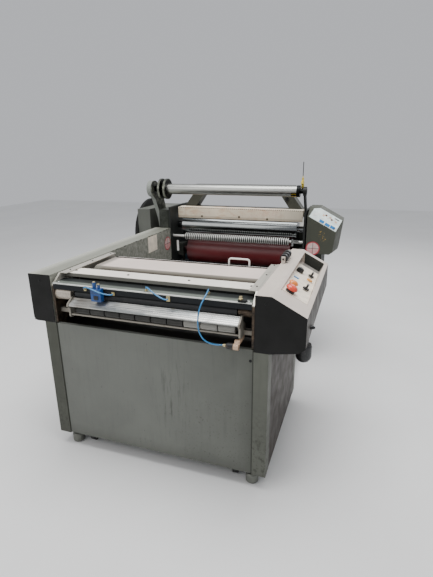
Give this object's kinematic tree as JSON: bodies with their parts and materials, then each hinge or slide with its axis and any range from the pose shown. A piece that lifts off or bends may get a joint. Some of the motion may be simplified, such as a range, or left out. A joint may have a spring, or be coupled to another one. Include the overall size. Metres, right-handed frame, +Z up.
{
  "type": "roll laminator",
  "caption": "Industrial roll laminator with a delivery cabinet, operator console, laminating rollers, hinged hood and film roll shaft.",
  "frame": {"origin": "on the floor under the middle of the machine", "axes": "+X to the operator console side, +Y from the delivery end to the infeed end, +Z up"},
  "size_m": [1.487, 2.1949, 1.371],
  "materials": {
    "post_paint": "satin, worn",
    "panel_paint": "satin, scuffed",
    "side_paint": "satin",
    "dark_paint": "satin",
    "beam_paint": "satin",
    "console_paint": "satin",
    "cap_paint": "fine texture",
    "label_plate": "matt film",
    "zinc_steel": "worn zinc",
    "rail_steel": "satin",
    "bright_aluminium": "extruded",
    "cast_grey": "painted casting",
    "bracket_steel": "stained",
    "valve_blue": "gloss",
    "brass": "turned",
    "tube_blue": "polyurethane tube",
    "black_plastic": "matt",
    "steel_foot": "zinc plated",
    "hood_paint": "aged cream",
    "guard_paint": "satin",
    "fascia_film": "matt film",
    "chrome_roll": "polished",
    "rubber_red": "silicone rubber",
    "ribbed_steel": "grooved",
    "shaft_aluminium": "anodised",
    "yellow_plastic": "gloss",
    "black_rubber": "matt",
    "grey_rubber": "worn",
    "red_plastic": "gloss",
    "orange_plastic": "gloss",
    "amber_plastic": "gloss",
    "wheel_black": "matt",
    "motor_paint": "satin",
    "belt_black": "matt",
    "handle_white": "powder coat"
  },
  "bodies": {
    "frame": {"corner_posts": "post_paint", "front_panel": "panel_paint", "cabinet_panels": "side_paint", "base_rails": "dark_paint", "left_beam": "beam_paint", "beam_end_caps": "cap_paint", "console_shell": "console_paint", "console_panel": "label_plate", "inner_side_plates": "zinc_steel", "front_crossbar": "beam_paint", "valve_rail": "rail_steel", "delivery_lip": "bright_aluminium", "lower_brackets": "bracket_steel", "air_cylinder": "bracket_steel", "air_valve": "valve_blue", "air_fittings": "brass", "air_tube_left": "tube_blue", "air_tube_middle": "tube_blue", "air_tube_right": "tube_blue", "filter_regulator": "black_plastic", "levelling_feet": "steel_foot", "cable_gland": "black_plastic", "tower_side_plates": "dark_paint", "tower_panels": "dark_paint", "drive_housing": "panel_paint", "round_guard": "cap_paint", "control_box": "cap_paint", "control_fascia": "fascia_film", "rear_arch": "post_paint", "shaft_arm": "cast_grey", "shaft_post": "cast_grey", "infeed_table": "zinc_steel", "drive_motor": "motor_paint", "drive_belt": "belt_black", "lift_cylinders": "bright_aluminium"},
    "guard": {"guard_plate": "guard_paint", "guard_handle": "handle_white"},
    "hood": {"hood": "hood_paint"},
    "chrome_roller": {"chrome_roller": "chrome_roll"},
    "pressure_carriage": {"pressure_blocks": "cast_grey"},
    "pressure_roller": {"pressure_roller": "rubber_red"},
    "ribbed_roller": {"ribbed_roller": "ribbed_steel"},
    "film_shaft": {"film_shaft": "shaft_aluminium"},
    "latch_lever": {"latch_lever": "yellow_plastic"},
    "nip_roller": {"nip_roller": "black_rubber"},
    "segmented_roller": {"segmented_roller": "grey_rubber"},
    "emergency_stop": {"emergency_stop": "red_plastic"},
    "orange_button": {"orange_button": "orange_plastic"},
    "amber_button": {"amber_button": "amber_plastic"},
    "speed_knob": {"speed_knob": "black_plastic"},
    "selector_front": {"selector_front": "black_plastic"},
    "selector_rear": {"selector_rear": "black_plastic"},
    "edge_wheels": {"edge_wheels": "black_plastic"},
    "regulator_knob": {"regulator_knob": "black_plastic"},
    "front_left_fork": {"front_left_fork": "steel_foot"},
    "front_right_fork": {"front_right_fork": "steel_foot"},
    "front_left_wheel": {"front_left_wheel": "wheel_black"},
    "front_right_wheel": {"front_right_wheel": "wheel_black"},
    "rear_wheels": {"rear_wheels": "wheel_black"},
    "motor_pulley": {"motor_pulley": "bracket_steel"}
  },
  "joints": [
    {"name": "guard_lift", "type": "hinge", "parent": "frame", "child": "guard", "pos_m": [0.0265, -0.768, 0.866], "axis": [1, 0, 0], "range_deg": [0, 75]},
    {"name": "hood_lift", "type": "hinge", "parent": "frame", "child": "hood", "pos_m": [0.0265, 0.408, 1.036], "axis": [-1, 0, 0], "range_deg": [0, 70]},
    {"name": "main_roller_spin", "type": "hinge", "parent": "frame", "child": "chrome_roller", "pos_m": [0.0265, 0.392, 0.915], "axis": [1, 0, 0], "continuous": true},
    {"name": "pressure_lift", "type": "slide", "parent": "frame", "child": "pressure_carriage", "axis": [0, 0, 1], "range_m": [0, 0.0116]},
    {"name": "pressure_roller_spin", "type": "hinge", "parent": "pressure_carriage", "child": "pressure_roller", "pos_m": [0.0265, 0.392, 0.7335], "axis": [1, 0, 0], "continuous": true},
    {"name": "ribbed_roller_spin", "type": "hinge", "parent": "frame", "child": "ribbed_roller", "pos_m": [0.0265, 0.282, 0.85], "axis": [1, 0, 0], "continuous": true},
    {"name": "film_shaft_spin", "type": "hinge", "parent": "frame", "child": "film_shaft", "pos_m": [0.0265, 0.192, 1.193], "axis": [1, 0, 0], "continuous": true},
    {"name": "latch_swing", "type": "hinge", "parent": "frame", "child": "latch_lever", "pos_m": [0.4895, 0.192, 1.193], "axis": [1, 0, 0], "range_deg": [0, 60]},
    {"name": "nip_roller_spin", "type": "hinge", "parent": "frame", "child": "nip_roller", "pos_m": [0.0265, -1.016, 0.822], "axis": [1, 0, 0], "continuous": true},
    {"name": "segmented_roller_spin", "type": "hinge", "parent": "frame", "child": "segmented_roller", "pos_m": [0.0265, -1.036, 0.752], "axis": [1, 0, 0], "continuous": true},
    {"name": "emergency_stop_press", "type": "slide", "parent": "frame", "child": "emergency_stop", "axis": [-0.4691, -0.0703, -0.8803], "range_m": [0, 0.006], "stiffness_N_per_m": 900},
    {"name": "orange_button_press", "type": "slide", "parent": "frame", "child": "orange_button", "axis": [-0.4691, -0.0703, -0.8803], "range_m": [0, 0.006], "stiffness_N_per_m": 700},
    {"name": "amber_button_press", "type": "slide", "parent": "frame", "child": "amber_button", "axis": [-0.4691, -0.0703, -0.8803], "range_m": [0, 0.004], "stiffness_N_per_m": 600},
    {"name": "speed_knob_turn", "type": "hinge", "parent": "frame", "child": "speed_knob", "pos_m": [0.5906, -0.49909, 0.86029], "axis": [0.4691, 0.0703, 0.8803], "range_deg": [-135, 135]},
    {"name": "selector_front_turn", "type": "hinge", "parent": "frame", "child": "selector_front", "pos_m": [0.65276, -0.72353, 0.8451], "axis": [0.4691, 0.0703, 0.8803], "range_deg": [-45, 45]},
    {"name": "selector_rear_turn", "type": "hinge", "parent": "frame", "child": "selector_rear", "pos_m": [0.644, -0.45919, 0.82865], "axis": [0.4691, 0.0703, 0.8803], "range_deg": [-45, 45]},
    {"name": "edge_wheels_spin", "type": "hinge", "parent": "frame", "child": "edge_wheels", "pos_m": [0.5175, -0.463, 0.932], "axis": [0, 1, 0], "continuous": true},
    {"name": "regulator_knob_turn", "type": "hinge", "parent": "frame", "child": "regulator_knob", "pos_m": [0.6655, -0.763, 0.65], "axis": [0, 0, 1], "range_deg": [-720, 720]},
    {"name": "front_left_swivel", "type": "hinge", "parent": "frame", "child": "front_left_fork", "pos_m": [-0.3585, -0.996, 0.072], "axis": [0, 0, 1], "continuous": true},
    {"name": "front_right_swivel", "type": "hinge", "parent": "frame", "child": "front_right_fork", "pos_m": [0.4115, -0.996, 0.072], "axis": [0, 0, 1], "continuous": true},
    {"name": "front_left_wheel_spin", "type": "hinge", "parent": "front_left_fork", "child": "front_left_wheel", "pos_m": [-0.3585, -0.98, 0.033], "axis": [1, 0, 0], "continuous": true},
    {"name": "front_right_wheel_spin", "type": "hinge", "parent": "front_right_fork", "child": "front_right_wheel", "pos_m": [0.4115, -0.98, 0.033], "axis": [1, 0, 0], "continuous": true},
    {"name": "rear_wheels_spin", "type": "hinge", "parent": "frame", "child": "rear_wheels", "pos_m": [0.0265, 0.592, 0.048], "axis": [1, 0, 0], "continuous": true},
    {"name": "motor_spin", "type": "hinge", "parent": "frame", "child": "motor_pulley", "pos_m": [-0.5035, 0.512, 0.6], "axis": [1, 0, 0], "continuous": true}
  ],
  "couplings": [
    {"joint": "pressure_roller_spin", "follows": "main_roller_spin", "ratio": -0.79365},
    {"joint": "motor_spin", "follows": "main_roller_spin", "ratio": 2.1429}
  ]
}
